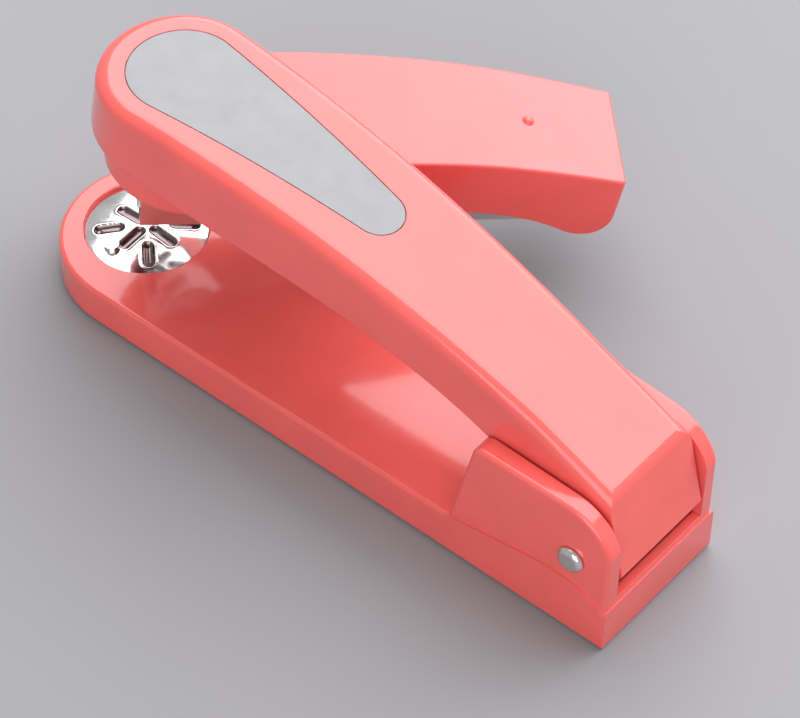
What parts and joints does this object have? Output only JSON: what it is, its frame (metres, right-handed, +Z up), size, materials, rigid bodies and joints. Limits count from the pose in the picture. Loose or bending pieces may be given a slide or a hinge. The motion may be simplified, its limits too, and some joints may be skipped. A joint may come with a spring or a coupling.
{
  "type": "swivel-head desk stapler",
  "caption": "Long-handled desk stapler whose staple arm turns under the raised handle over a stamped round anvil.",
  "frame": {"origin": "middle of the base's footprint, on the table under the anti-slip pad", "axes": "+X along the base from the anvil to the hinge, +Y to the side that the staple arm is swung out to, +Z up"},
  "size_m": [0.16, 0.102, 0.0665],
  "materials": {
    "coral_plastic": "glossy moulded plastic",
    "grey_grip": "matte soft-touch",
    "chrome_steel": "bright plated",
    "steel": "bright zinc plated sheet",
    "spring_steel": "drawn wire",
    "staple_wire": "galvanised wire",
    "dark_plastic": "moulded",
    "rubber": "matte"
  },
  "bodies": {
    "base": {"base_shell": "coral_plastic", "base_cover": "dark_plastic", "rubber_pad": "rubber", "base_screws": "steel", "anvil_disc": "chrome_steel", "anvil_clip": "spring_steel", "hinge_pin": "chrome_steel", "handle_spring": "spring_steel"},
    "handle": {"handle_shell": "coral_plastic", "grip_insert": "grey_grip", "handle_frame": "steel", "hinge_bushes": "dark_plastic", "frame_screws": "steel"},
    "carrier": {"swivel_carrier": "steel"},
    "turret": {"swivel_post": "steel", "swivel_yoke": "steel", "detent_washer": "spring_steel", "swivel_washer": "steel", "levelling_spring": "spring_steel"},
    "arm": {"arm_cover": "coral_plastic", "heel_cap": "coral_plastic", "pitch_pin": "steel", "heel_pin": "steel", "driver_blade": "spring_steel", "driver_screw": "steel", "magazine_spring": "spring_steel"},
    "magazine": {"magazine_channel": "chrome_steel", "magazine_nose": "chrome_steel", "staple_rail": "steel", "staple_strip": "staple_wire", "follower_rod": "steel", "follower_spring": "spring_steel", "magazine_end_plate": "steel"},
    "follower": {"staple_follower": "dark_plastic"}
  },
  "joints": [
    {"name": "handle_press", "type": "hinge", "parent": "base", "child": "handle", "pos_m": [0.0705, 0, 0.0225], "axis": [0, 1, 0], "range_deg": [-8.8, 0], "stiffness_Nm_per_rad": 1.2, "springref_deg": 14.32, "deforming": ["handle_spring"]},
    {"name": "carrier_level", "type": "hinge", "parent": "handle", "child": "carrier", "pos_m": [-0.058, 0, 0.05656], "axis": [0, 1, 0], "range_deg": [0, 8.8]},
    {"name": "head_swivel", "type": "hinge", "parent": "carrier", "child": "turret", "pos_m": [-0.058, 0, 0.05006], "axis": [0, 0, 1], "continuous": true, "deforming": ["detent_washer"]},
    {"name": "arm_level", "type": "hinge", "parent": "turret", "child": "arm", "pos_m": [-0.05314, 0.00504, 0.04256], "axis": [-0.7193, 0.6947, 0], "range_deg": [-11.4, 0], "deforming": ["levelling_spring"]},
    {"name": "magazine_fold", "type": "hinge", "parent": "arm", "child": "magazine", "pos_m": [0.0015, 0.06162, 0.02255], "axis": [-0.7193, 0.6947, 0], "range_deg": [0, 7], "deforming": ["magazine_spring"]},
    {"name": "follower_slide", "type": "slide", "parent": "magazine", "child": "follower", "axis": [0.6933, 0.7179, -0.0628], "range_m": [0, 0.022], "stiffness_N_per_m": 60, "springref_m": -0.02, "deforming": ["follower_spring"]}
  ],
  "couplings": [
    {"joint": "carrier_level", "follows": "handle_press", "ratio": -1},
    {"joint": "arm_level", "follows": "handle_press", "ratio": 1.2955},
    {"joint": "magazine_fold", "follows": "handle_press", "ratio": -0.79545}
  ]
}
